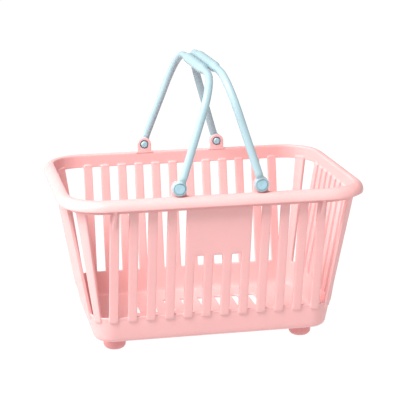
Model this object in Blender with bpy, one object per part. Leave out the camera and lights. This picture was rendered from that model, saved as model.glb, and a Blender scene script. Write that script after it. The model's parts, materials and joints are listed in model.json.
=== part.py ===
"""Shower caddy: a slotted plastic basket with two folding arch handles, four pivot pins and four feet.

Units are metres and +Z is up. X runs along the basket's long side and Y across it. The origin is in the
middle of the basket, on the surface that the feet stand on. Each handle turns about an axis along Y.
"""

import math

import bmesh
import bpy
from mathutils import Matrix, Vector

# Heights above the standing surface
FOOT_HEIGHT = 0.0125
BASE_Z = FOOT_HEIGHT                     # underside of the base
FLOOR_TOP_Z = BASE_Z + 0.0022            # inside floor
SLOT_BOTTOM_Z = 0.0353
PLATE_BOTTOM_Z = 0.0861                  # lower edge of the solid panel in the front wall
SLOT_TOP_Z = 0.1263
LIP_Z = 0.1298                           # lower edge of the rim's skirt
CROWN_Z = 0.1380                         # top of the rim
PIVOT_Z = 0.1446

# Plan sizes, as half lengths along X and Y and a corner radius
RIM_HALF = (0.1250, 0.0900)
WALL_TOP_HALF = (0.1168, 0.0818)         # outer face of the wall from SLOT_TOP_Z up
WALL_TOP_RADIUS = 0.0275
WALL_FOOT_HALF = (0.1012, 0.0643)        # outer face of the wall at SLOT_BOTTOM_Z
WALL_FOOT_RADIUS = 0.0180

# Wall section, as offsets from the wall's outer face
WALL = 0.0020
RIB = 0.0012                             # how far the bars stand out
SKIRT = 0.0020
SHOULDER = 0.0028                        # how far the skirt leans in towards its top
FLANGE = 0.0022

# Bars and slots
BAR_PITCH = 0.01519
BAR_WIDTH = 0.0075
LONG_BARS = 12
SHORT_BARS = 8
SHORT_PITCH = 0.0133
POST_ANGLE = math.radians(35)            # where a corner post starts, from the wall's own direction
PANEL_BARS = (4, 7)                      # first and last bar that the front panel joins
TONGUE = 0.0045                          # the bars run on down over the base band

# Gussets under the rim, on the end bars of the long walls
GUSSET_BOTTOM_Z = 0.1146
GUSSET_WIDTH = 0.0032
OVERLAP = 0.0004                         # how far a shape reaches into the one it is joined to

# Drain slots in the floor
DRAIN_WIDTH = 0.0055
DRAIN_LENGTH = 0.0300
DRAIN_ROWS = (-0.0200, 0.0200)
DRAINS_PER_ROW = 8

# Ears, pins and handles
PIVOT_X = 0.0328
EAR_Y = (0.0800, 0.0825)                 # inner and outer faces of an ear
EAR_RADIUS = 0.0061
EAR_HOLE_RADIUS = 0.0037
BOSS_Y = (0.0828, 0.0867)
BOSS_RADIUS = 0.0059
PIN_RADIUS = 0.0029
PIN_HEAD_RADIUS = 0.0043
PIN_HEAD_DEPTH = 0.0010
GAP = 0.0003
ROD_HALF = (0.0032, 0.0027)              # half width across the loop, half depth in the loop's plane
GRIP_HALF = (0.0046, 0.0042)
LEG_Y = 0.0857                           # the leg's centre line where it leaves the boss
SHOULDER_Y = 0.0785                      # the leg's centre line where the bend starts
STRAIGHT_HEIGHT = 0.0095                 # the leg runs straight up past the ear
SHOULDER_HEIGHT = 0.0520
GRIP_HEIGHT = 0.0893                     # pivot to grip centre line
BEND_END_Y = 0.0490
GRIP_HALF_LENGTH = 0.0340
GRIP_TAPER = 0.0070                      # half length of the step from grip to rod
LEFT_LEAN = math.radians(19.6)           # rest position: both handles lean in and meet
RIGHT_LEAN = math.radians(16.9)

# Feet
FOOT_X = 0.0791
FOOT_Y = 0.0350
FOOT_RADIUS = 0.0096
FOOT_EDGE = 0.0035


def clear_scene():
    for item in list(bpy.data.objects):
        bpy.data.objects.remove(item, do_unlink=True)


def make_material(name, colour, roughness):
    material = bpy.data.materials.new(name)
    material.use_nodes = True
    shader = material.node_tree.nodes["Principled BSDF"]
    shader.inputs["Base Color"].default_value = (*colour, 1.0)
    shader.inputs["Roughness"].default_value = roughness
    shader.inputs["Metallic"].default_value = 0.0
    return material


def add_object(name, bm, material, origin=(0.0, 0.0, 0.0)):
    """Put a bmesh, drawn in world space, in an object whose origin is at the given point."""
    bmesh.ops.recalc_face_normals(bm, faces=bm.faces)
    mesh = bpy.data.meshes.new(name)
    bm.transform(Matrix.Translation(-Vector(origin)))
    bm.to_mesh(mesh)
    bm.free()
    mesh.materials.append(material)
    item = bpy.data.objects.new(name, mesh)
    item.location = origin
    bpy.context.scene.collection.objects.link(item)
    return item


def apply_boolean(target, cutter, operation):
    """Cut or join with the exact solver, then drop the tool."""
    modifier = target.modifiers.new(operation.lower(), "BOOLEAN")
    modifier.operation = operation
    modifier.object = cutter
    modifier.solver = "EXACT"
    depsgraph = bpy.context.evaluated_depsgraph_get()
    result = bpy.data.meshes.new_from_object(target.evaluated_get(depsgraph))
    target.modifiers.clear()
    target.data = result
    bpy.data.objects.remove(cutter, do_unlink=True)


def smooth(item, angle=math.radians(32)):
    item.data.shade_smooth()
    item.data.set_sharp_from_angle(angle=angle)


# ---------------------------------------------------------------- basket

def wall_outline(z):
    """Half length, half width and corner radius of the wall's outer face at a height."""
    t = min(1.0, (z - SLOT_BOTTOM_Z) / (SLOT_TOP_Z - SLOT_BOTTOM_Z))
    half_x = WALL_FOOT_HALF[0] + (WALL_TOP_HALF[0] - WALL_FOOT_HALF[0]) * t
    half_y = WALL_FOOT_HALF[1] + (WALL_TOP_HALF[1] - WALL_FOOT_HALF[1]) * t
    radius = WALL_FOOT_RADIUS + (WALL_TOP_RADIUS - WALL_FOOT_RADIUS) * t
    return half_x, half_y, radius


def post_edge(half, radius):
    """Where a corner post starts, measured along the wall from its middle."""
    return half - radius + radius * math.sin(POST_ANGLE)


def bar_edges(count, pitch):
    """The two edges of each bar, as distances along the wall, in order."""
    edges = []
    for index in range(count):
        centre = (index - (count - 1) / 2) * pitch
        edges.append(centre - BAR_WIDTH / 2)
        edges.append(centre + BAR_WIDTH / 2)
    return edges


def wall_stations(wall, count, pitch):
    """Stations of one wall, in order: corner slot, bars and slots, corner slot, ready for a post."""
    edges = bar_edges(count, pitch)
    stations = [(wall, "post", -1.0), (wall, "mix", -0.5)]
    stations += [(wall, "edge", value) for value in edges]
    stations += [(wall, "mix", 0.5), (wall, "post", 1.0)]
    return stations


def along_wall(kind, value, half, radius, outer_edge):
    """Distance along the wall of a station, at a level of the given outline."""
    if kind == "edge":
        return value
    edge = post_edge(half, radius)
    if kind == "post":
        return math.copysign(edge, value)
    return math.copysign((edge + outer_edge) / 2, value)


def station_point(station, z, offset):
    """The point of a station at a height, on the outline pushed out by an offset."""
    wall, kind, value = station
    half_x, half_y, radius = wall_outline(z)
    if wall in ("front", "back"):
        half, across = half_x, half_y
        outer_edge = bar_edges(LONG_BARS, BAR_PITCH)[-1]
    else:
        half, across = half_y, half_x
        outer_edge = bar_edges(SHORT_BARS, SHORT_PITCH)[-1]
    grown = radius + offset
    if kind == "mid":
        reach, depth = half - radius + grown * math.sqrt(0.5), across - radius + grown * math.sqrt(0.5)
    else:
        distance = along_wall(kind, value, half, radius, outer_edge)
        beyond = max(0.0, abs(distance) - (half - radius))
        angle = math.asin(min(1.0, beyond / radius))
        reach = math.copysign(min(abs(distance), half - radius) + grown * math.sin(angle), distance)
        depth = across - radius + grown * math.cos(angle)
    return {
        "front": (reach, -depth),
        "right": (depth, reach),
        "back": (-reach, depth),
        "left": (-depth, -reach),
    }[wall]


def rim_grow(z):
    """Offset of the rim's outer face from the wall's outer face at a height, the same along X and Y."""
    half_x = wall_outline(z)[0]
    t = (z - LIP_Z) / (CROWN_Z - LIP_Z)
    return RIM_HALF[0] - SHOULDER * t - half_x


def basket_rows():
    """Levels of the wall, bottom to top, each as a height and the offsets of its five surfaces."""
    levels = [
        (BASE_Z, 0.0026),
        (BASE_Z + 0.0010, 0.0008),
        (FLOOR_TOP_Z, 0.0002),
        (BASE_Z + 0.0035, 0.0),
        (SLOT_BOTTOM_Z - TONGUE, 0.0),
        (SLOT_BOTTOM_Z, 0.0),
        (PLATE_BOTTOM_Z, 0.0),
        (SLOT_TOP_Z, 0.0),
        (LIP_Z, 0.0),
        (CROWN_Z - FLANGE, 0.0),
        (CROWN_Z, 0.0),
    ]
    rows = []
    for z, tuck in levels:
        skirt = max(rim_grow(z), RIB + 0.002)
        rows.append((z, (-tuck - WALL, -tuck, RIB, skirt - SKIRT, skirt)))
    return rows


def build_basket_shell():
    """Walls, bars, panel, rim and base as one closed mesh, laid out on a grid of stations and levels."""
    stations = []
    for wall, count, pitch in (
        ("front", LONG_BARS, BAR_PITCH),
        ("right", SHORT_BARS, SHORT_PITCH),
        ("back", LONG_BARS, BAR_PITCH),
        ("left", SHORT_BARS, SHORT_PITCH),
    ):
        stations += wall_stations(wall, count, pitch) + [(wall, "mid", 1.0)]
    rows = basket_rows()
    heights = [row[0] for row in rows]
    floor_row = heights.index(FLOOR_TOP_Z)
    tongue_row = heights.index(SLOT_BOTTOM_Z - TONGUE)
    slot_row = heights.index(SLOT_BOTTOM_Z)
    panel_row = heights.index(PLATE_BOTTOM_Z)
    slot_top_row = heights.index(SLOT_TOP_Z)
    lip_row = heights.index(LIP_Z)
    flange_row = heights.index(CROWN_Z - FLANGE)
    count = len(stations)
    panel_x = (
        (PANEL_BARS[0] - (LONG_BARS - 1) / 2) * BAR_PITCH - BAR_WIDTH / 2 - 1e-6,
        (PANEL_BARS[1] - (LONG_BARS - 1) / 2) * BAR_PITCH + BAR_WIDTH / 2 + 1e-6,
    )

    def is_bar(u):
        """True where the strip from station u to the next is a bar or a corner post."""
        wall, kind, value = stations[u]
        following = stations[(u + 1) % count]
        if kind == "mid" or following[1] == "mid":
            return True
        if kind != "edge" or following[1] != "edge":
            return False
        return following[2] - value < BAR_WIDTH + 1e-6 and is_left_edge(u)

    def is_left_edge(u):
        """True at the first edge of a bar."""
        wall, kind, value = stations[u]
        if wall in ("front", "back"):
            return bar_edges(LONG_BARS, BAR_PITCH).index(value) % 2 == 0
        return bar_edges(SHORT_BARS, SHORT_PITCH).index(value) % 2 == 0

    def in_panel(u):
        wall, kind, value = stations[u]
        following = stations[(u + 1) % count]
        if wall != "front" or kind != "edge" or following[1] != "edge":
            return False
        return panel_x[0] <= value and following[2] <= panel_x[1]

    def filled(u, v, w):
        """True where the cell is plastic. w counts layers outwards: wall, rib, channel, skirt."""
        if w < 0 or w > 3 or v < 0 or v >= len(rows) - 1:
            return False
        u %= count
        if w == 0:
            if v < slot_row or v >= slot_top_row:
                return True
            return is_bar(u) or (in_panel(u) and v >= panel_row)
        if w == 1:
            if v >= flange_row:
                return True
            if v < tongue_row:
                return False
            return is_bar(u) or (in_panel(u) and v >= panel_row)
        if w == 2:
            return v >= flange_row
        return v >= lip_row

    bm = bmesh.new()
    corners = {}

    def corner(u, v, w):
        key = (u % count, v, w)
        if key not in corners:
            z, offsets = rows[v]
            x, y = station_point(stations[u % count], z, offsets[w])
            drop = 0.0012 if v == len(rows) - 1 and w in (0, 4) else 0.0
            corners[key] = bm.verts.new((x, y, z - drop))
        return corners[key]

    def face(*cell_corners):
        bm.faces.new([corner(*place) for place in cell_corners])

    for u in range(count):
        for v in range(len(rows) - 1):
            for w in range(4):
                if not filled(u, v, w):
                    continue
                u1, v1, w1 = u + 1, v + 1, w + 1
                if not filled(u, v, w - 1) and not (w == 0 and v < floor_row):
                    face((u, v, w), (u, v1, w), (u1, v1, w), (u1, v, w))
                if not filled(u, v, w + 1):
                    face((u, v, w1), (u1, v, w1), (u1, v1, w1), (u, v1, w1))
                if not filled(u, v - 1, w):
                    face((u, v, w), (u1, v, w), (u1, v, w1), (u, v, w1))
                if not filled(u, v + 1, w):
                    face((u, v1, w), (u, v1, w1), (u1, v1, w1), (u1, v1, w))
                if not filled(u - 1, v, w):
                    face((u, v, w), (u, v, w1), (u, v1, w1), (u, v1, w))
                if not filled(u + 1, v, w):
                    face((u1, v, w), (u1, v1, w), (u1, v1, w1), (u1, v, w1))
    bm.faces.new([corner(u, 0, 0) for u in reversed(range(count))])
    bm.faces.new([corner(u, floor_row, 0) for u in range(count)])
    bmesh.ops.dissolve_limit(bm, angle_limit=math.radians(0.2), verts=bm.verts, edges=bm.edges)
    return bm


def add_prism(bm, points, y_low, y_high):
    """A closed prism along Y from an outline of (x, z) points."""
    near = [bm.verts.new((x, y_low, z)) for x, z in points]
    far = [bm.verts.new((x, y_high, z)) for x, z in points]
    bm.faces.new(near)
    bm.faces.new(list(reversed(far)))
    for index in range(len(points)):
        following = (index + 1) % len(points)
        bm.faces.new((near[index], far[index], far[following], near[following]))


def join_rings(bm, rings):
    """Faces between rings of equal counts, and a flat cap on each end."""
    for first, second in zip(rings, rings[1:]):
        for i in range(len(first)):
            j = (i + 1) % len(first)
            bm.faces.new((first[i], first[j], second[j], second[i]))
    bm.faces.new(rings[0])
    bm.faces.new(list(reversed(rings[-1])))


def add_turned(bm, profile, side, segments=16):
    """A solid turned about the Y axis, from (distance, radius) pairs, at y = side * distance."""
    rings = []
    for distance, radius in profile:
        points = circle_points(0.0, 0.0, radius, segments)
        rings.append([bm.verts.new((x, side * distance, z)) for x, z in points])
    join_rings(bm, rings)


def circle_points(x, z, radius, segments, start=0.0, sweep=2 * math.pi):
    """Points round a circle or an arc, both of whose ends count."""
    closed = abs(sweep - 2 * math.pi) < 1e-9
    steps = segments if closed else segments + 1
    angles = [start + sweep * i / segments for i in range(steps)]
    return [(x + radius * math.cos(angle), z + radius * math.sin(angle)) for angle in angles]


def ear_spans():
    """Low and high Y of the front pair and the back pair of ears."""
    return ((-EAR_Y[1], -EAR_Y[0]), (EAR_Y[0], EAR_Y[1]))


def build_gussets():
    """Triangular webs from the end bars of the long walls out to the rim's skirt."""
    bm = bmesh.new()
    flange_z = CROWN_Z - FLANGE + OVERLAP
    outline = [
        (wall_outline(GUSSET_BOTTOM_Z)[1] + RIB - OVERLAP, GUSSET_BOTTOM_Z),
        (RIM_HALF[1] - SKIRT + OVERLAP, LIP_Z + OVERLAP),
        (wall_outline(flange_z)[1] + rim_grow(flange_z) - SKIRT + OVERLAP, flange_z),
        (wall_outline(flange_z)[1] + RIB - OVERLAP, flange_z),
    ]
    bar_x = (LONG_BARS - 1) / 2 * BAR_PITCH
    for x in (-bar_x, bar_x):
        for side in (-1, 1):
            near = [bm.verts.new((x - GUSSET_WIDTH / 2, side * y, z)) for y, z in outline]
            far = [bm.verts.new((x + GUSSET_WIDTH / 2, side * y, z)) for y, z in outline]
            join_rings(bm, [near, far])
    return bm


def build_ears():
    bm = bmesh.new()
    for x in (-PIVOT_X, PIVOT_X):
        outline = circle_points(x, PIVOT_Z, EAR_RADIUS, 12, 0.0, math.pi)
        outline += [(x - EAR_RADIUS, CROWN_Z - FLANGE / 2), (x + EAR_RADIUS, CROWN_Z - FLANGE / 2)]
        for low, high in ear_spans():
            add_prism(bm, outline, low, high)
    return bm


def build_ear_holes():
    bm = bmesh.new()
    for x in (-PIVOT_X, PIVOT_X):
        for low, high in ear_spans():
            add_prism(bm, circle_points(x, PIVOT_Z, EAR_HOLE_RADIUS, 16), low - 0.002, high + 0.002)
    return bm


def build_drain_cutters():
    """Long holes with round ends, two rows of them, right through the floor."""
    bm = bmesh.new()
    low, high = BASE_Z - 0.003, FLOOR_TOP_Z + 0.003
    radius = DRAIN_WIDTH / 2
    straight = DRAIN_LENGTH / 2 - radius
    for row in DRAIN_ROWS:
        for index in range(DRAINS_PER_ROW):
            x = (index - (DRAINS_PER_ROW - 1) / 2) * BAR_PITCH
            outline = circle_points(x, row + straight, radius, 6, 0.0, math.pi)
            outline += circle_points(x, row - straight, radius, 6, math.pi, math.pi)
            bottom = [bm.verts.new((px, py, low)) for px, py in outline]
            top = [bm.verts.new((px, py, high)) for px, py in outline]
            bm.faces.new(list(reversed(bottom)))
            bm.faces.new(top)
            for i in range(len(outline)):
                j = (i + 1) % len(outline)
                bm.faces.new((bottom[i], bottom[j], top[j], top[i]))
    return bm


def build_basket(material):
    basket = add_object("basket_body", build_basket_shell(), material)
    apply_boolean(basket, add_object("gussets", build_gussets(), material), "UNION")
    apply_boolean(basket, add_object("ears", build_ears(), material), "UNION")
    apply_boolean(basket, add_object("ear_holes", build_ear_holes(), material), "DIFFERENCE")
    apply_boolean(basket, add_object("drain_holes", build_drain_cutters(), material), "DIFFERENCE")
    smooth(basket)
    return basket


# ---------------------------------------------------------------- handles and pins

def handle_path():
    """Half a handle's centre line, boss to grip, as (y, height, share) points. share is 0 on the rod."""
    points = [(LEG_Y, 0.0, 0.0), (LEG_Y, STRAIGHT_HEIGHT, 0.0)]
    rise = SHOULDER_HEIGHT - STRAIGHT_HEIGHT
    for t in (0.5, 1.0):
        points.append((LEG_Y + (SHOULDER_Y - LEG_Y) * t, STRAIGHT_HEIGHT + rise * t, 0.0))
    steps = 7
    for i in range(1, steps + 1):
        angle = math.pi / 2 * i / steps
        y = BEND_END_Y + (SHOULDER_Y - BEND_END_Y) * math.cos(angle)
        z = SHOULDER_HEIGHT + (GRIP_HEIGHT - SHOULDER_HEIGHT) * math.sin(angle)
        points.append((y, z, 0.0))
    for t in (-1.0, -0.5, 0.0, 0.5, 1.0):
        share = 0.5 + 0.75 * t - 0.25 * t ** 3
        points.append((GRIP_HALF_LENGTH - GRIP_TAPER * t, GRIP_HEIGHT, share))
    return points


def full_handle_path():
    half = handle_path()
    mirrored = [(-y, z, share) for y, z, share in reversed(half)]
    return half + mirrored


def section_ring(bm, centre, tangent, half, sides=12):
    """A ring of vertices, oval across the path: half[0] along X, half[1] in the loop's plane."""
    normal = Vector((0.0, -tangent.z, tangent.y))
    ring = []
    for i in range(sides):
        angle = 2 * math.pi * i / sides
        offset = Vector((half[0] * math.cos(angle), 0.0, 0.0)) + normal * (half[1] * math.sin(angle))
        ring.append(bm.verts.new(centre + offset))
    return ring


def build_handle_loop():
    """The arch, drawn upright in the YZ plane with the pivot axis along Y through the origin."""
    bm = bmesh.new()
    path = full_handle_path()
    rings = []
    for index, (y, z, share) in enumerate(path):
        before = Vector((0.0, *path[max(index - 1, 0)][:2]))
        after = Vector((0.0, *path[min(index + 1, len(path) - 1)][:2]))
        tangent = (after - before).normalized()
        half = [rod + (grip - rod) * share for rod, grip in zip(ROD_HALF, GRIP_HALF)]
        rings.append(section_ring(bm, Vector((0.0, y, z)), tangent, half))
    join_rings(bm, rings)
    return bm


def build_boss_discs():
    bm = bmesh.new()
    for low, high in ((-BOSS_Y[1], -BOSS_Y[0]), (BOSS_Y[0], BOSS_Y[1])):
        add_prism(bm, circle_points(0.0, 0.0, BOSS_RADIUS, 20), low, high)
    return bm


def build_pin_seats():
    """A through bore with a wider seat for the pin's head, in each boss."""
    bm = bmesh.new()
    seat = BOSS_Y[1] - PIN_HEAD_DEPTH - GAP
    profile = (
        (BOSS_Y[0] - 0.002, PIN_RADIUS + GAP),
        (seat, PIN_RADIUS + GAP),
        (seat, PIN_HEAD_RADIUS + GAP),
        (BOSS_Y[1] + 0.004, PIN_HEAD_RADIUS + GAP),
    )
    for side in (-1, 1):
        add_turned(bm, profile, side)
    return bm


def build_handle(name, pivot_x, lean, material):
    """lean is the angle from upright, positive towards +X."""
    handle = add_object(name, build_handle_loop(), material)
    apply_boolean(handle, add_object("boss_discs", build_boss_discs(), material), "UNION")
    apply_boolean(handle, add_object("pin_seats", build_pin_seats(), material), "DIFFERENCE")
    smooth(handle)
    handle.location = (pivot_x, 0.0, PIVOT_Z)
    handle.rotation_euler = (0.0, lean, 0.0)
    return handle


def build_pin(name, handle, side, material):
    """A headed pin through a boss and an ear. side is -1 at the front and 1 at the back."""
    bm = bmesh.new()
    head_top = BOSS_Y[1] - 0.0002
    profile = (
        (head_top, PIN_HEAD_RADIUS),
        (head_top - PIN_HEAD_DEPTH, PIN_HEAD_RADIUS),
        (head_top - PIN_HEAD_DEPTH, PIN_RADIUS),
        (EAR_Y[0] + 0.0001, PIN_RADIUS),
        (EAR_Y[0] - 0.0004, PIN_RADIUS - 0.0005),
    )
    add_turned(bm, profile, side)
    pin = add_object(name, bm, material)
    smooth(pin)
    pin.parent = handle
    return pin


# ---------------------------------------------------------------- feet

def build_foot(name, x, y, material):
    """A round foot with a rounded lower edge."""
    bm = bmesh.new()
    profile = [(FOOT_RADIUS, FOOT_HEIGHT - GAP), (FOOT_RADIUS, FOOT_EDGE)]
    for i in (1, 2, 3):
        angle = math.pi / 2 * i / 3
        radius = FOOT_RADIUS - FOOT_EDGE * (1 - math.cos(angle))
        profile.append((radius, FOOT_EDGE * (1 - math.sin(angle))))
    rings = []
    for radius, z in profile:
        rings.append([bm.verts.new((px, py, z)) for px, py in circle_points(x, y, radius, 20)])
    join_rings(bm, rings)
    foot = add_object(name, bm, material, (x, y, 0.0))
    smooth(foot)
    return foot


def main():
    clear_scene()
    pink = make_material("pink_plastic", (0.90, 0.50, 0.50), 0.42)
    blue = make_material("blue_plastic", (0.55, 0.84, 0.89), 0.35)
    pin_blue = make_material("pin_plastic", (0.42, 0.78, 0.86), 0.35)
    foot_pink = make_material("foot_plastic", (0.88, 0.47, 0.47), 0.50)
    build_basket(pink)
    for side_name, pivot_x, lean in (("left", -PIVOT_X, LEFT_LEAN), ("right", PIVOT_X, -RIGHT_LEAN)):
        handle = build_handle(f"handle_{side_name}", pivot_x, lean, blue)
        for end_name, end in (("front", -1), ("back", 1)):
            build_pin(f"pivot_pin_{side_name}_{end_name}", handle, end, pin_blue)
    for x_name, x in (("left", -FOOT_X), ("right", FOOT_X)):
        for y_name, y in (("front", -FOOT_Y), ("back", FOOT_Y)):
            build_foot(f"foot_{y_name}_{x_name}", x, y, foot_pink)


main()
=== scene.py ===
"""Shower caddy: its fine surfaces, materials, light and camera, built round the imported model.

Units are metres, +Z is up, +X runs along the basket's long side. The basket is one moulding, drawn on a grid
of stations (round the wall), levels (up the wall) and layers (through the wall), then subdivided, which gives
every bar, slot and rim edge its moulded rounding. The handles are swept, and the pins and feet are turned.
"""

import json
import math

import bmesh
import bpy
from mathutils import Matrix, Vector


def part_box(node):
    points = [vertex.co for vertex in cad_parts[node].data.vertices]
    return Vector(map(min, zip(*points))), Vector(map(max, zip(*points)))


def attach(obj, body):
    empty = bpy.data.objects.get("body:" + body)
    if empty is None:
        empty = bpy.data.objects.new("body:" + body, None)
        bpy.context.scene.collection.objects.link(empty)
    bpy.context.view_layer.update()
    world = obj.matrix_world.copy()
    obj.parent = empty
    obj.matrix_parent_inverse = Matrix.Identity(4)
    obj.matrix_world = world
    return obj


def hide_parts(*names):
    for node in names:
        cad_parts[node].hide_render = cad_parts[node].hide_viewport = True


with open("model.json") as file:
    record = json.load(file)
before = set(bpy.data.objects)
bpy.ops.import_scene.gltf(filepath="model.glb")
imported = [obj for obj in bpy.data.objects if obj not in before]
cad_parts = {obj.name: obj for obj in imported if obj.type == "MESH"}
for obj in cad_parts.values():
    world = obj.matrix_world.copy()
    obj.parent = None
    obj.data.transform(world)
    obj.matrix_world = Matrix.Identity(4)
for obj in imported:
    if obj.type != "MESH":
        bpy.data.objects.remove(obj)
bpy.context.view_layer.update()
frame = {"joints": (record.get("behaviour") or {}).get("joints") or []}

# ---------------------------------------------------------------- sizes, as in the CAD part

BASKET_LOW, BASKET_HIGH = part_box("basket_body")
HINGES = {joint["child"]: Vector(joint["pos_m"]) for joint in frame["joints"]}

# Heights
BASE_Z = BASKET_LOW.z
FLOOR_TOP_Z = BASE_Z + 0.0022
BASE_EDGE = 0.0035                       # radius of the base's lower edge
BASE_SHELL = 0.0026                      # thickness of that edge
SLOT_BOTTOM_Z = 0.0353
PANEL_BOTTOM_Z = 0.0861
GUSSET_BOTTOM_Z = 0.1146
SLOT_TOP_Z = 0.1263
LIP_Z = 0.1298
CROWN_Z = 0.1380

# Plan, as half lengths along X and Y and a corner radius, of the face that the base band shows
WALL_TOP = (0.1168, 0.0818, 0.0275)
WALL_FOOT = (0.1012, 0.0643, 0.0180)

# Layers through the wall, as offsets from that face
INNER = -0.0020                          # inner face of the bars and the base band
RECESS = -0.0008                         # inner face of the upper band, behind the bars
BAND = 0.0
OUTER = 0.0012                           # outer face of the bars, the panel and the upper band
RIM_REACH = BASKET_HIGH.x - WALL_TOP[0]
SKIRT = 0.0019                           # thickness of the rim
RIM_CENTRE = 0.0016                      # the rim's rounding turns about a line this far from wall and lip

# Bars
BAR_PITCH = 0.01519
SIDE_PITCH = 0.0133
BAR_WIDTH = 0.0075
LONG_BARS = 12
SIDE_BARS = 8
PANEL_BARS = (4, 7)
POST_ANGLE = math.radians(35)
GUSSET_WIDTH = 0.0034
TONGUE = 0.0045                          # the bars' outer halves run on down over the base band
BUMP = 0.0026                            # the bars' inner halves run on up over the upper band
BUMP_CORNER = 0.0016                     # how much lower a bump is at its corners
TONGUE_CORNERS = (0.0015, 0.0009)        # how much higher a tongue's last two levels are at its corners
ROUND = 0.0009                           # distance from an edge to the line that holds its rounding
ROUND_ANGLE = math.radians(2.4)
FIRST_DRAIN = 2                          # bar number, from either end, where the drains begin
DRAIN_REACH = (0.0038, 0.0362)           # from the middle line

# Hinges and handles
EAR_Y = (0.0800, 0.0825)
EAR_RADIUS = 0.0061
EAR_HOLE_RADIUS = 0.0037
EAR_FLARE = 0.0016
EAR_ROOT = 0.0012                        # how deep an ear is set into the rim
EAR_INSET = 0.0006                       # how far its inner face stands back
BOSS_Y = (0.0828, 0.0867)
BOSS_RADIUS = 0.0059
PIN_RADIUS = 0.0029
PIN_HEAD_RADIUS = 0.0043
SEAT_DEPTH = 0.0011                      # the recess in a boss that takes the pin's head
SEAT_GAP = 0.0003
ROD_HALF = (0.0032, 0.0027)
GRIP_HALF = (0.0046, 0.0042)
LEG_Y = 0.0857
SHOULDER_Y = 0.0785
STRAIGHT_HEIGHT = 0.0095
SHOULDER_HEIGHT = 0.0520
GRIP_HEIGHT = 0.0893
BEND_END_Y = 0.0490
GRIP_HALF_LENGTH = 0.0340
GRIP_TAPER = 0.0070                      # half length of the step from grip to rod
LEANS = {"left_handle": math.radians(19.6), "right_handle": math.radians(-16.9)}
RING_SIDES = 40                          # points round a handle's section, a pin and a hole
CUTTER_REACH = 0.01

LONG_WALLS = ("front", "back")


# ---------------------------------------------------------------- materials

def add_noise(material, coordinates, scale, detail, distortion=0.0):
    """A noise pattern that stays in place on the object."""
    noise = material.node_tree.nodes.new("ShaderNodeTexNoise")
    noise.inputs["Scale"].default_value = scale
    noise.inputs["Detail"].default_value = detail
    noise.inputs["Distortion"].default_value = distortion
    material.node_tree.links.new(coordinates.outputs["Object"], noise.inputs["Vector"])
    return noise.outputs["Fac"]


def add_bump(material, pattern, strength, distance, under=None):
    """The normal of a bump made by a pattern, over another bump's normal if there is one."""
    bump = material.node_tree.nodes.new("ShaderNodeBump")
    bump.inputs["Strength"].default_value = strength
    bump.inputs["Distance"].default_value = distance
    material.node_tree.links.new(pattern, bump.inputs["Height"])
    if under is not None:
        material.node_tree.links.new(under, bump.inputs["Normal"])
    return bump.outputs["Normal"]


def moulded_plastic(name, colour, roughness, subsurface, glow, grain, mottle):
    """Injection-moulded plastic: faint flow marks in colour and gloss, a satin grain and some glow inside."""
    material = bpy.data.materials.new(name)
    material.use_nodes = True
    nodes = material.node_tree.nodes
    links = material.node_tree.links
    shader = nodes["Principled BSDF"]
    coordinates = nodes.new("ShaderNodeTexCoord")
    flow = add_noise(material, coordinates, 34.0, 3.0, 0.6)

    tint = nodes.new("ShaderNodeValToRGB")
    dark, light = tint.color_ramp.elements
    dark.position = 0.32
    dark.color = (*[c * (1.0 - mottle) for c in colour], 1.0)
    light.position = 0.70
    light.color = (*[min(1.0, c * (1.0 + mottle)) for c in colour], 1.0)
    links.new(flow, tint.inputs["Fac"])
    links.new(tint.outputs["Color"], shader.inputs["Base Color"])

    gloss_change = 0.05
    gloss = nodes.new("ShaderNodeMapRange")
    gloss.inputs["To Min"].default_value = roughness - gloss_change
    gloss.inputs["To Max"].default_value = roughness + gloss_change
    links.new(flow, gloss.inputs["Value"])
    links.new(gloss.outputs["Result"], shader.inputs["Roughness"])

    satin = add_bump(material, add_noise(material, coordinates, 1400.0, 2.0), grain, 0.00012)
    sink_marks = add_bump(material, add_noise(material, coordinates, 70.0, 1.0), 0.15, 0.0003, satin)
    links.new(sink_marks, shader.inputs["Normal"])

    shader.inputs["IOR"].default_value = 1.49
    shader.inputs["Subsurface Weight"].default_value = subsurface
    shader.inputs["Subsurface Scale"].default_value = 0.005
    shader.inputs["Subsurface Radius"].default_value = glow
    return material


# ---------------------------------------------------------------- mesh helpers

def new_object(name, bm, material):
    bmesh.ops.recalc_face_normals(bm, faces=bm.faces)
    mesh = bpy.data.meshes.new(name)
    bm.to_mesh(mesh)
    bm.free()
    mesh.materials.append(material)
    mesh.shade_smooth()
    item = bpy.data.objects.new(name, mesh)
    bpy.context.scene.collection.objects.link(item)
    return item


def apply_modifiers(item):
    depsgraph = bpy.context.evaluated_depsgraph_get()
    result = bpy.data.meshes.new_from_object(item.evaluated_get(depsgraph))
    item.modifiers.clear()
    item.data = result


def cut(item, cutter):
    modifier = item.modifiers.new("cut", "BOOLEAN")
    modifier.operation = "DIFFERENCE"
    modifier.object = cutter
    modifier.solver = "EXACT"
    apply_modifiers(item)
    bpy.data.objects.remove(cutter, do_unlink=True)


def round_edges(item, width, segments=3):
    bevel = item.modifiers.new("round", "BEVEL")
    bevel.width = width
    bevel.segments = segments
    bevel.limit_method = "ANGLE"
    bevel.angle_limit = math.radians(40)
    apply_modifiers(item)
    item.data.shade_smooth()
    item.data.set_sharp_from_angle(angle=math.radians(40))


def join_rings(bm, rings):
    for first, second in zip(rings, rings[1:]):
        for i in range(len(first)):
            j = (i + 1) % len(first)
            bm.faces.new((first[i], first[j], second[j], second[i]))
    bm.faces.new(rings[0])
    bm.faces.new(list(reversed(rings[-1])))


def turned(profile, segments=48):
    """A solid turned about Z from (radius, height) pairs, bottom to top."""
    bm = bmesh.new()
    rings = []
    for radius, z in profile:
        angles = [2 * math.pi * i / segments for i in range(segments)]
        rings.append([bm.verts.new((radius * math.cos(a), radius * math.sin(a), z)) for a in angles])
    join_rings(bm, rings)
    return bm


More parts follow.
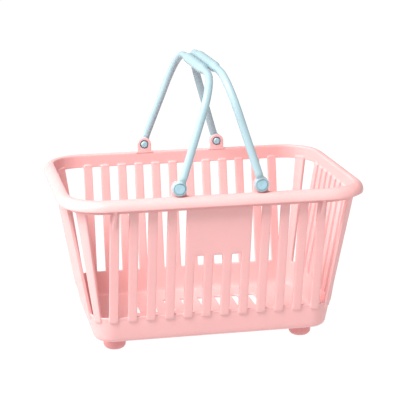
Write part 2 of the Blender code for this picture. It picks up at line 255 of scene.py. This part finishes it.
def arc(radius, height, reach, start, end, steps=5):
    """(radius, height) pairs along a quarter round of a turned profile, angles in degrees."""
    pairs = []
    for i in range(steps + 1):
        angle = math.radians(start + (end - start) * i / steps)
        pairs.append((radius + reach * math.cos(angle), height + reach * math.sin(angle)))
    return pairs


def mix(a, b, t):
    return a + (b - a) * t


def ease(low, high, value):
    t = max(0.0, min(1.0, (value - low) / (high - low)))
    return t * t * (3.0 - 2.0 * t)


# ---------------------------------------------------------------- basket: stations round the wall

def bar_centres(wall):
    """Places of a wall's bars, along the wall from its middle."""
    count, pitch = (LONG_BARS, BAR_PITCH) if wall in LONG_WALLS else (SIDE_BARS, SIDE_PITCH)
    return [(index - (count - 1) / 2) * pitch for index in range(count)]


def wall_stations(wall):
    """(wall, kind, value, strip) in order. strip says what lies between a station and the next one."""
    long_wall = wall in LONG_WALLS
    edge = BAR_WIDTH / 2
    stations = [
        (wall, "angle", -POST_ANGLE - ROUND_ANGLE, "bar"),
        (wall, "angle", -POST_ANGLE, "slot"),
        (wall, "angle", -POST_ANGLE + ROUND_ANGLE, "slot"),
        (wall, "between", -0.67, "slot"),
        (wall, "between", -0.33, "slot"),
    ]
    for index, centre in enumerate(bar_centres(wall)):
        in_panel = wall == "front" and PANEL_BARS[0] <= index < PANEL_BARS[1]
        before_panel = wall == "front" and PANEL_BARS[0] < index <= PANEL_BARS[1]
        stations.append((wall, "along", centre - edge - ROUND, "panel" if before_panel else "slot"))
        stations.append((wall, "along", centre - edge, "bar"))
        stations.append((wall, "along", centre - edge + ROUND, "bar"))
        if long_wall and index in (0, LONG_BARS - 1):
            stations.append((wall, "along", centre - GUSSET_WIDTH / 2, "gusset"))
            stations.append((wall, "along", centre, "gusset"))
            stations.append((wall, "along", centre + GUSSET_WIDTH / 2, "bar"))
        stations.append((wall, "along", centre + edge - ROUND, "bar"))
        stations.append((wall, "along", centre + edge, "panel" if in_panel else "slot"))
        stations.append((wall, "along", centre + edge + ROUND, "panel" if in_panel else "slot"))
    stations += [
        (wall, "between", 0.33, "slot"),
        (wall, "between", 0.67, "slot"),
        (wall, "angle", POST_ANGLE - ROUND_ANGLE, "slot"),
        (wall, "angle", POST_ANGLE, "bar"),
        (wall, "angle", POST_ANGLE + ROUND_ANGLE, "bar"),
        (wall, "angle", math.pi / 4, "bar"),
    ]
    return stations


def outline(z):
    """Half length, half width and corner radius of the band's face at a height."""
    t = min(1.0, (z - SLOT_BOTTOM_Z) / (SLOT_TOP_Z - SLOT_BOTTOM_Z))
    return [mix(foot, top, t) for foot, top in zip(WALL_FOOT, WALL_TOP)]


def place(station, z, offset):
    """The point of a station at a height, on the outline pushed out by an offset."""
    wall, kind, value, _ = station
    half_x, half_y, radius = outline(z)
    half, across = (half_x, half_y) if wall in LONG_WALLS else (half_y, half_x)
    straight = half - radius
    if kind == "angle":
        angle = abs(value)
        start = straight
    else:
        distance = abs(value)
        if kind == "between":
            from_bar = bar_centres(wall)[-1] + BAR_WIDTH / 2 + ROUND
            to_post = straight + radius * math.sin(POST_ANGLE - ROUND_ANGLE)
            distance = mix(from_bar, to_post, abs(value))
        angle = math.asin(max(0.0, distance - straight) / radius)
        start = min(distance, straight)
    reach = math.copysign(start + (radius + offset) * math.sin(angle), value)
    depth = across - radius + (radius + offset) * math.cos(angle)
    return {
        "front": (reach, -depth),
        "right": (depth, reach),
        "back": (-reach, depth),
        "left": (-depth, -reach),
    }[wall]


# ---------------------------------------------------------------- basket: levels up the wall

def plain_level(z):
    """A level of the straight wall: (offset, height) of each layer."""
    skirt_inner = RIM_REACH - SKIRT
    web = mix(OUTER + 0.0006, skirt_inner, max(0.0, (z - GUSSET_BOTTOM_Z) / (LIP_Z - GUSSET_BOTTOM_Z)))
    return [(offset, z) for offset in (INNER, RECESS, BAND, OUTER, web, RIM_REACH)]


def base_level(angle, inner):
    """A level of the base's rounded lower edge. angle runs from 0 underneath to 90 degrees at the side."""
    turn = math.radians(angle)
    tuck = BASE_EDGE * (1.0 - math.sin(turn))
    z = BASE_Z + BASE_EDGE * (1.0 - math.cos(turn))
    return [(-tuck - inner, z), (-tuck - inner * 0.45, z), (-tuck, z), (OUTER, z), (OUTER, z), (OUTER, z)]


def rim_level(z_wall, angle, inner_angle):
    """A level of the rim, whose section is a quarter round from the skirt's face over to the crown."""
    start_z = LIP_Z + RIM_CENTRE
    reach = RIM_REACH - RIM_CENTRE
    rise = CROWN_Z - start_z
    outer = (RIM_CENTRE + reach * math.cos(angle), start_z + rise * math.sin(angle))
    inner = (
        RIM_CENTRE + (reach - SKIRT) * math.cos(inner_angle),
        start_z + (rise - SKIRT) * math.sin(inner_angle),
    )
    return [(INNER, z_wall), (RECESS, z_wall), (BAND, z_wall), (OUTER, z_wall), inner, outer]


def basket_levels():
    """All levels, bottom to top, and the index of each one that starts or ends something."""
    levels = []
    marks = {}

    def add(level, mark=None):
        if mark:
            marks[mark] = len(levels)
        levels.append(level)

    add(base_level(0, BASE_SHELL))
    add(base_level(38, BASE_SHELL))
    add([(offset, FLOOR_TOP_Z) for offset, _ in base_level(68, BASE_SHELL + 0.0002)], "floor")
    add(plain_level(BASE_Z + BASE_EDGE + 0.0006))
    for z, mark in (
        (SLOT_BOTTOM_Z - TONGUE, "tongue"),
        (SLOT_BOTTOM_Z, "slot"),
        (PANEL_BOTTOM_Z, "panel"),
    ):
        add(plain_level(z - ROUND))
        add(plain_level(z), mark)
        add(plain_level(z + ROUND))
    add(plain_level(GUSSET_BOTTOM_Z), "gusset")
    add(plain_level(GUSSET_BOTTOM_Z + 0.0022))
    add(plain_level(SLOT_TOP_Z - ROUND))
    add(plain_level(SLOT_TOP_Z), "slot_top")
    add(plain_level(SLOT_TOP_Z + 0.0008))
    add(plain_level(SLOT_TOP_Z + BUMP), "bump")
    lip = plain_level(LIP_Z)
    lip[4] = (RIM_REACH - SKIRT + 0.0003, LIP_Z)
    lip[5] = (RIM_REACH - 0.0001, LIP_Z)
    add(lip, "lip")
    bead = plain_level(LIP_Z + ROUND)
    bead[4] = (RIM_REACH - SKIRT, LIP_Z + ROUND)
    add(bead)
    add(rim_level(LIP_Z + 0.0025, math.radians(6), math.radians(6)))
    add(rim_level(LIP_Z + 0.0042, math.radians(27), math.radians(27)))
    add(rim_level(CROWN_Z - 0.0024, math.radians(48), math.radians(52)), "flange")
    crown = rim_level(CROWN_Z, math.radians(70), math.radians(70))
    crown[1] = (RECESS, CROWN_Z - 0.0005)
    crown[2] = (BAND + 0.0002, CROWN_Z - 0.0001)
    crown[4] = (0.0026, CROWN_Z - 0.0001)
    add(crown)
    return levels, marks


# ---------------------------------------------------------------- basket: the moulding

def make_filled(stations, marks, level_count):
    """A test for the cell after station u, above level v, outside layer w."""
    solid_strips = ("bar", "gusset")

    def filled(u, v, w):
        if w < 0 or w > 4 or v < 0 or v >= level_count - 1:
            return False
        strip = stations[u % len(stations)][3]
        solid = strip in solid_strips or (strip == "panel" and v >= marks["panel"] and w > 0)
        if w == 0:
            return v < marks["slot"] or (solid and v < marks["bump"])
        if w == 1:
            return v < marks["slot"] or v >= marks["slot_top"] or solid
        if w == 2:
            return v >= marks["slot_top"] or (solid and v >= marks["tongue"])
        if w == 3:
            return v >= marks["flange"] or (strip == "gusset" and v >= marks["gusset"])
        return v >= marks["lip"]

    return filled


def bar_edge_share(station):
    """0 along a bar's middle and 1 at its edges. The bars' ends are rounded by this much."""
    wall, kind, value, _ = station
    if kind != "along":
        return 0.0
    nearest = min(bar_centres(wall), key=lambda centre: abs(centre - value))
    across = min(1.0, abs(value - nearest) / (BAR_WIDTH / 2))
    return across ** 3


def floor_point(i, j, sides):
    """A point of the floor: lines between the bars of facing walls, and a Coons patch in each corner."""
    front, back, left, right, last_i, last_j = sides

    def share(point_list, index, last, axis):
        """How far a line lies beyond the last bar, from 0 to 1 at the corner, with its sign."""
        reach = abs(point_list[index][axis])
        limit = abs(point_list[last][axis])
        corner = abs(point_list[0][axis])
        sign = math.copysign(1.0, point_list[index][axis])
        return max(0.0, (reach - limit) / (corner - limit)), sign

    fx, sx = share(front, i, last_i, 0)
    fy, sy = share(left, j, last_j, 1)
    facing = front if sy < 0 else back
    ending = left if sx < 0 else right
    edge_x = math.copysign(abs(front[last_i][0]), sx)
    edge_y = math.copysign(abs(left[last_j][1]), sy)
    if fx == 0.0 and fy == 0.0:
        return front[i][0], left[j][1]
    if fy == 0.0:
        return mix(edge_x, ending[j][0], fx), left[j][1]
    if fx == 0.0:
        return front[i][0], mix(edge_y, facing[i][1], fy)
    wall_x = math.copysign(abs(ending[last_j][0]), sx)
    wall_y = math.copysign(abs(facing[last_i][1]), sy)
    corner = facing[0] if sx < 0 else facing[-1]
    point = []
    for axis in (0, 1):
        start = (edge_x, edge_y)[axis]
        side_end = (wall_x, edge_y)[axis]
        face_end = (edge_x, wall_y)[axis]
        along_x = mix(mix(start, face_end, fy), ending[j][axis], fx)
        along_y = mix(mix(start, side_end, fx), facing[i][axis], fy)
        bilinear = mix(mix(start, side_end, fx), mix(face_end, corner[axis], fx), fy)
        point.append(along_x + along_y - bilinear)
    return point[0], point[1]


def is_drain(i, j, front, left):
    """True where the floor's cell after lines i and j is open."""
    x = (front[i][0] + front[i + 1][0]) / 2
    y = abs(left[j][1] + left[j + 1][1]) / 2
    index = x / BAR_PITCH + (LONG_BARS - 1) / 2
    beside = abs(index - round(index)) * BAR_PITCH
    in_row = FIRST_DRAIN <= round(index) <= LONG_BARS - 1 - FIRST_DRAIN
    return in_row and beside <= BAR_WIDTH / 2 - ROUND and DRAIN_REACH[0] < y < DRAIN_REACH[1]


def basket_mesh():
    walls = {wall: wall_stations(wall) for wall in ("front", "right", "back", "left")}
    stations = walls["front"] + walls["right"] + walls["back"] + walls["left"]
    total = len(stations)
    levels, marks = basket_levels()
    filled = make_filled(stations, marks, len(levels))
    bm = bmesh.new()
    known = {}

    def vertex(u, v, w):
        key = (u % total, v, w)
        if key not in known:
            offset, z = levels[v][w]
            station = stations[u % total]
            x, y = place(station, levels[v][2][1], offset)
            if v == marks["bump"] and w < 2:
                z -= BUMP_CORNER * bar_edge_share(station)
            if v in (marks["tongue"], marks["tongue"] + 1) and w in (2, 3):
                z += TONGUE_CORNERS[v - marks["tongue"]] * bar_edge_share(station)
            known[key] = bm.verts.new((x, y, z))
        return known[key]

    def face(*corners):
        bm.faces.new([vertex(*corner) for corner in corners])

    for u in range(total):
        for v in range(len(levels) - 1):
            for w in range(5):
                if not filled(u, v, w):
                    continue
                u1, v1, w1 = u + 1, v + 1, w + 1
                if not filled(u, v, w - 1) and not (w == 0 and v < marks["floor"]):
                    face((u, v, w), (u, v1, w), (u1, v1, w), (u1, v, w))
                if not filled(u, v, w1):
                    face((u, v, w1), (u1, v, w1), (u1, v1, w1), (u, v1, w1))
                if not filled(u, v - 1, w):
                    face((u, v, w), (u1, v, w), (u1, v, w1), (u, v, w1))
                if not filled(u, v1, w):
                    face((u, v1, w), (u, v1, w1), (u1, v1, w1), (u1, v1, w))
                if not filled(u - 1, v, w):
                    face((u, v, w), (u, v, w1), (u, v1, w1), (u, v1, w))
                if not filled(u1, v, w):
                    face((u1, v, w), (u1, v1, w), (u1, v1, w1), (u1, v, w1))
    add_floor(bm, vertex, walls, marks)
    return bm


def add_floor(bm, vertex, walls, marks):
    """The floor's upper and lower faces, with the drains' sides between them."""
    long_count = len(walls["front"])
    side_count = len(walls["right"])
    total = 2 * (long_count + side_count)

    def ring_index(i, j):
        """The station where the floor's line pair meets the wall, or None inside."""
        if j == 0:
            return (i - 1) % total
        if i == long_count:
            return long_count - 1 + j
        if j == side_count:
            return long_count + side_count - 1 + (long_count - i)
        if i == 0:
            return total - 1 - j
        return None

    grids = []
    for v in (0, marks["floor"]):
        front = [vertex(ring_index(i, 0), v, 0).co.xy for i in range(long_count + 1)]
        back = [vertex(ring_index(i, side_count), v, 0).co.xy for i in range(long_count + 1)]
        left = [vertex(ring_index(0, j), v, 0).co.xy for j in range(side_count + 1)]
        right = [vertex(ring_index(long_count, j), v, 0).co.xy for j in range(side_count + 1)]
        last_i = next(k for k, s in enumerate(walls["front"]) if s[1] == "along") + 1
        last_j = next(k for k, s in enumerate(walls["right"]) if s[1] == "along") + 1
        z = vertex(0, v, 0).co.z
        grid = {}
        for i in range(long_count + 1):
            for j in range(side_count + 1):
                ring = ring_index(i, j)
                if ring is not None:
                    grid[i, j] = vertex(ring, v, 0)
                    continue
                x, y = floor_point(i, j, (front, back, left, right, last_i, last_j))
                grid[i, j] = bm.verts.new((x, y, z))
        grids.append((grid, front, left))

    def is_open(i, j):
        if not (0 < i < long_count - 1 and 0 < j < side_count - 1):
            return False
        return is_drain(i, j, grids[1][1], grids[1][2])

    lower, upper = grids[0][0], grids[1][0]
    for i in range(long_count):
        for j in range(side_count):
            if is_open(i, j):
                continue
            square = [(i, j), (i + 1, j), (i + 1, j + 1), (i, j + 1)]
            bm.faces.new([upper[key] for key in square])
            bm.faces.new([lower[key] for key in reversed(square)])
            for k, step in enumerate(((0, -1), (1, 0), (0, 1), (-1, 0))):
                if is_open(i + step[0], j + step[1]):
                    a = square[k]
                    b = square[(k + 1) % 4]
                    bm.faces.new((upper[a], lower[a], lower[b], upper[b]))
    for vert in [v for v in bm.verts if not v.link_faces]:
        bm.verts.remove(vert)


def ear_mesh(x, side):
    """A hinge ear on the rim: a tab with a round top and a flared foot."""
    pivot_z = HINGES["left_handle"].z
    bm = bmesh.new()
    outline_points = []
    for i in range(25):
        angle = math.pi * i / 24
        outline_points.append((x + EAR_RADIUS * math.cos(angle), pivot_z + EAR_RADIUS * math.sin(angle)))
    for sign in (-1, 1):
        turn = []
        for i in range(6):
            angle = math.pi / 2 * i / 5
            out = EAR_RADIUS + EAR_FLARE * (1 - math.cos(angle))
            turn.append((x + sign * out, CROWN_Z + EAR_FLARE * (1 - math.sin(angle))))
        turn.append((x + sign * (EAR_RADIUS + EAR_FLARE), CROWN_Z - EAR_ROOT))
        outline_points += turn if sign < 0 else reversed(turn)
    low, high = sorted((side * (EAR_Y[0] + EAR_INSET), side * EAR_Y[1]))
    near = [bm.verts.new((px, low, pz)) for px, pz in outline_points]
    far = [bm.verts.new((px, high, pz)) for px, pz in outline_points]
    join_rings(bm, [near, far])
    return bm


def build_basket(material):
    basket = new_object("basket_moulding", basket_mesh(), material)
    fine = basket.modifiers.new("fine", "SUBSURF")
    fine.levels = 1
    fine.render_levels = 1
    apply_modifiers(basket)
    bm = bmesh.new()
    bm.from_mesh(basket.data)
    for hinge in HINGES.values():
        for side in (-1, 1):
            ear = new_object("ear", ear_mesh(hinge.x, side), material)
            hole = turned([(EAR_HOLE_RADIUS, -CUTTER_REACH), (EAR_HOLE_RADIUS, CUTTER_REACH)], RING_SIDES)
            middle = Vector((hinge.x, side * sum(EAR_Y) / 2, hinge.z))
            hole.transform(Matrix.Translation(middle) @ Matrix.Rotation(math.pi / 2, 4, "X"))
            cut(ear, new_object("ear_hole", hole, material))
            round_edges(ear, 0.0005)
            bm.from_mesh(ear.data)
            bpy.data.objects.remove(ear, do_unlink=True)
    bm.to_mesh(basket.data)
    bm.free()
    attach(basket, "basket")
    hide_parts("basket_body")


# ---------------------------------------------------------------- handles

def smooth_line(points, passes):
    """Evens out the kinks of a close-set line, ends kept."""
    for _ in range(passes):
        inner = [(a + 2 * b + c) / 4 for a, b, c in zip(points, points[1:], points[2:])]
        points = [points[0]] + inner + [points[-1]]
    return points


def handle_line():
    """Half the centre line, from the top of the boss to the middle of the grip, as (y, height) vectors."""
    rough = [Vector((LEG_Y, STRAIGHT_HEIGHT)), Vector((SHOULDER_Y, SHOULDER_HEIGHT))]
    steps = 24
    for i in range(1, steps + 1):
        angle = math.pi / 2 * i / steps
        y = BEND_END_Y + (SHOULDER_Y - BEND_END_Y) * math.cos(angle)
        rough.append(Vector((y, SHOULDER_HEIGHT + (GRIP_HEIGHT - SHOULDER_HEIGHT) * math.sin(angle))))
    rough.append(Vector((0.0, GRIP_HEIGHT)))
    spacing = 0.0011
    line = [rough[0]]
    for a, b in zip(rough, rough[1:]):
        count = max(1, round((b - a).length / spacing))
        line += [a.lerp(b, k / count) for k in range(1, count + 1)]
    return smooth_line(line, 60)


def grip_share(y):
    """0 on the rod and 1 on the grip, with a smooth taper between."""
    return ease(-GRIP_TAPER, GRIP_TAPER, GRIP_HALF_LENGTH - abs(y))


def leg_half_width(height):
    """Half width of the boss and the leg above it, joined by a fillet."""
    fillet = 0.0050
    rod = ROD_HALF[0]
    centre = math.sqrt((BOSS_RADIUS + fillet) ** 2 - (rod + fillet) ** 2)
    touch = centre * BOSS_RADIUS / (BOSS_RADIUS + fillet)
    if height < touch:
        return math.sqrt(max(0.0, BOSS_RADIUS ** 2 - height ** 2))
    if height < centre:
        return rod + fillet - math.sqrt(fillet ** 2 - (centre - height) ** 2)
    return rod


def boss_ring(height, sides):
    """Section of the boss and the foot of the leg, at a height over the pivot, as (x, y) pairs."""
    squareness = 6
    half = leg_half_width(height)
    share = ease(0.0010, STRAIGHT_HEIGHT, height)
    middle = mix((BOSS_Y[0] + BOSS_Y[1]) / 2, LEG_Y, share)
    ring = []
    for i in range(sides):
        turn = 2 * math.pi * i / sides
        x = half * math.cos(turn)
        beyond = min(1.0, math.hypot(x, height) / BOSS_RADIUS)
        disc = (BOSS_Y[1] - BOSS_Y[0]) / 2 * (1.0 - beyond ** squareness) ** (1 / squareness)
        rod = ROD_HALF[1] * abs(math.sin(turn))
        ring.append((x, middle + math.copysign(mix(disc, rod, share), math.sin(turn))))
    return ring


def handle_mesh():
    """The whole arch, upright, with the hinge axis along Y through the origin."""
    heights = [-BOSS_RADIUS * math.cos(math.pi / 2 * i / 18) for i in range(1, 19)]
    heights += [STRAIGHT_HEIGHT * i / 15 for i in range(1, 15)]
    bm = bmesh.new()
    rings = []
    for height in heights:
        rings.append([bm.verts.new((x, y, height)) for x, y in boss_ring(height, RING_SIDES)])
    line = handle_line()
    line += [Vector((-p.x, p.y)) for p in reversed(line[:-1])]
    for index, point in enumerate(line):
        ahead = line[min(index + 1, len(line) - 1)] - line[max(index - 1, 0)]
        if index in (0, len(line) - 1):
            ahead = Vector((0.0, 1.0 if index == 0 else -1.0))
        ahead.normalize()
        normal = Vector((0.0, ahead.y, -ahead.x))
        share = grip_share(point.x)
        half = (mix(ROD_HALF[0], GRIP_HALF[0], share), mix(ROD_HALF[1], GRIP_HALF[1], share))
        ring = []
        for i in range(RING_SIDES):
            turn = 2 * math.pi * i / RING_SIDES
            centre = Vector((0.0, point.x, point.y))
            across = Vector((half[0] * math.cos(turn), 0.0, 0.0))
            ring.append(bm.verts.new(centre + across + normal * (half[1] * math.sin(turn))))
        rings.append(ring)
    for height in reversed(heights):
        far = [(x, -y) for x, y in boss_ring(height, RING_SIDES)]
        rings.append([bm.verts.new((x, y, height)) for x, y in far])
    join_rings(bm, rings)
    return bm


def build_handle(body, material):
    side_name = body.split("_")[0]
    handle = new_object(f"handle_{side_name}_arch", handle_mesh(), material)
    for side in (-1, 1):
        radius = PIN_HEAD_RADIUS + SEAT_GAP
        seat = turned([(radius, 0.0), (radius, CUTTER_REACH)], RING_SIDES)
        towards = Matrix.Rotation(-side * math.pi / 2, 4, "X")
        seat.transform(Matrix.Translation((0.0, side * (BOSS_Y[1] - SEAT_DEPTH), 0.0)) @ towards)
        cut(handle, new_object("seat", seat, material))
    handle.data.shade_smooth()
    handle.data.set_sharp_from_angle(angle=math.radians(50))
    handle.data.transform(Matrix.Translation(HINGES[body]) @ Matrix.Rotation(LEANS[body], 4, "Y"))
    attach(handle, body)
    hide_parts(f"handle_{side_name}")


def build_pin(body, end_name, side, material):
    """A headed pin through the boss and the ear, with a rounded head and a small moulding dimple."""
    side_name = body.split("_")[0]
    head = BOSS_Y[1] - 0.0001
    head_depth = 0.0010
    edge = 0.0004
    tip = 0.0008
    profile = [(PIN_RADIUS - tip, EAR_Y[0] - tip / 2), (PIN_RADIUS, EAR_Y[0] + tip / 2)]
    profile += [(PIN_RADIUS, head - head_depth), (PIN_HEAD_RADIUS, head - head_depth)]
    profile += arc(PIN_HEAD_RADIUS - edge, head - edge, edge, 0, 90)
    profile += [(0.0006, head), (0.0003, head - 0.0001)]
    bm = turned(profile, RING_SIDES)
    towards = Matrix.Rotation(-side * math.pi / 2, 4, "X")
    bm.transform(Matrix.Translation(HINGES[body]) @ towards)
    pin = new_object(f"pin_{side_name}_{end_name}", bm, material)
    pin.data.set_sharp_from_angle(angle=math.radians(40))
    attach(pin, body)
    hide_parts(f"pivot_pin_{side_name}_{end_name}")


# ---------------------------------------------------------------- feet

def build_foot(node, material):
    """A round foot with a rounded tread edge and a slightly hollow tread."""
    low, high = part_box(node)
    centre = (low + high) / 2
    radius = (high.x - low.x) / 2
    edge = 0.0042
    taper = 0.0004
    hollow = 0.0005
    gap = 0.0002
    profile = [(radius - edge - 0.0016, hollow), (radius - edge - 0.0010, 0.0)]
    profile += arc(radius - edge - taper, edge, edge, -90, 0, 8)
    profile += [(radius, BASE_Z - gap)]
    bm = turned(profile, 56)
    bm.transform(Matrix.Translation((centre.x, centre.y, 0.0)))
    foot = new_object(f"{node}_pad", bm, material)
    foot.data.set_sharp_from_angle(angle=math.radians(50))
    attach(foot, "basket")
    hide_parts(node)


# ---------------------------------------------------------------- floor, light and camera

def build_stage():
    """A plain floor, almost white, that reaches far enough to fill the view."""
    reach = 40.0
    bm = bmesh.new()
    bmesh.ops.create_grid(bm, x_segments=1, y_segments=1, size=reach)
    material = bpy.data.materials.new("studio_floor")
    material.use_nodes = True
    shader = material.node_tree.nodes["Principled BSDF"]
    shader.inputs["Base Color"].default_value = (0.06, 0.06, 0.06, 1.0)
    shader.inputs["Roughness"].default_value = 0.80
    shader.inputs["Specular IOR Level"].default_value = 0.1
    shader.inputs["Emission Color"].default_value = (1.0, 1.0, 1.0, 1.0)
    shader.inputs["Emission Strength"].default_value = 0.98
    floor = new_object("studio_floor", bm, material)
    floor.location.z = -0.0001


def add_area_light(name, position, size, power, colour, aim=(0.0, 0.0, 0.09)):
    data = bpy.data.lights.new(name, "AREA")
    data.shape = "DISK"
    data.size = size
    data.energy = power
    data.color = colour
    light = bpy.data.objects.new(name, data)
    light.location = position
    light.rotation_euler = (Vector(aim) - Vector(position)).to_track_quat("-Z", "Y").to_euler()
    bpy.context.scene.collection.objects.link(light)


def build_light():
    """Soft studio light: a key from the upper left, a weaker one from the left and a faint fill."""
    world = bpy.data.worlds.new("studio")
    bpy.context.scene.world = world
    world.use_nodes = True
    background = world.node_tree.nodes["Background"]
    background.inputs["Color"].default_value = (1.0, 0.985, 0.975, 1.0)
    background.inputs["Strength"].default_value = 0.40
    add_area_light("key", (-0.95, -0.84, 1.65), 0.9, 60.0, (1.0, 0.985, 0.97))
    add_area_light("side", (-1.7, 0.0, 0.7), 0.8, 19.0, (1.0, 0.99, 0.98))
    add_area_light("fill", (1.0, -1.5, 0.9), 0.8, 3.0, (1.0, 1.0, 1.0))
    bpy.context.scene.view_settings.view_transform = "Standard"


def build_camera():
    """The camera looks down a little, from the left of the basket's front."""
    yaw = math.radians(-11.6)
    pitch = math.radians(14.55)
    roll = math.radians(-0.29)
    distance = 1.2035
    aim_height = 0.0731
    aim_right = 0.0005
    aim_up = 0.0380
    focal = 127.5
    back = Vector((math.sin(yaw) * math.cos(pitch), -math.cos(yaw) * math.cos(pitch), math.sin(pitch)))
    level_right = (-back).cross(Vector((0.0, 0.0, 1.0))).normalized()
    level_up = level_right.cross(-back)
    right = level_right * math.cos(roll) + level_up * math.sin(roll)
    up = level_up * math.cos(roll) - level_right * math.sin(roll)
    data = bpy.data.cameras.new("camera")
    data.sensor_width = 36.0
    data.lens = focal
    camera = bpy.data.objects.new("camera", data)
    position = Vector((0.0, 0.0, aim_height)) + back * distance + right * aim_right + up * aim_up
    turn = Matrix((right, up, back)).transposed().to_4x4()
    camera.matrix_world = Matrix.Translation(position) @ turn
    bpy.context.scene.collection.objects.link(camera)
    bpy.context.scene.camera = camera


# ---------------------------------------------------------------- everything together

pink = moulded_plastic("pink_moulding", (0.80, 0.435, 0.43), 0.46, 0.15, (1.0, 0.45, 0.40), 0.10, 0.02)
blue = moulded_plastic("blue_moulding", (0.335, 0.465, 0.515), 0.45, 0.0, (0.7, 0.9, 1.0), 0.05, 0.02)
# The pins are the handles' plastic; their more saturated blue is painted shade, copying the shaded look of
# the pin heads in the bosses.
pin_blue_painted_shade = moulded_plastic("pin_moulding_painted_shade", (0.32, 0.50, 0.58), 0.38, 0.0, (0.7, 0.9, 1.0), 0.05, 0.02)
# The feet's pink is a darker, more saturated copy of the basket's pink: painted shade, standing in for the
# shade under the basket's edge.
foot_pink_painted_shade = moulded_plastic("foot_moulding_painted_shade", (0.72, 0.30, 0.30), 0.50, 0.15, (1.0, 0.45, 0.40), 0.15, 0.03)

build_camera()
build_light()
build_stage()
build_basket(pink)
for body_name in ("left_handle", "right_handle"):
    build_handle(body_name, blue)
    build_pin(body_name, "front", -1, pin_blue_painted_shade)
    build_pin(body_name, "back", 1, pin_blue_painted_shade)
for foot_node in ("foot_front_left", "foot_front_right", "foot_back_left", "foot_back_right"):
    build_foot(foot_node, foot_pink_painted_shade)
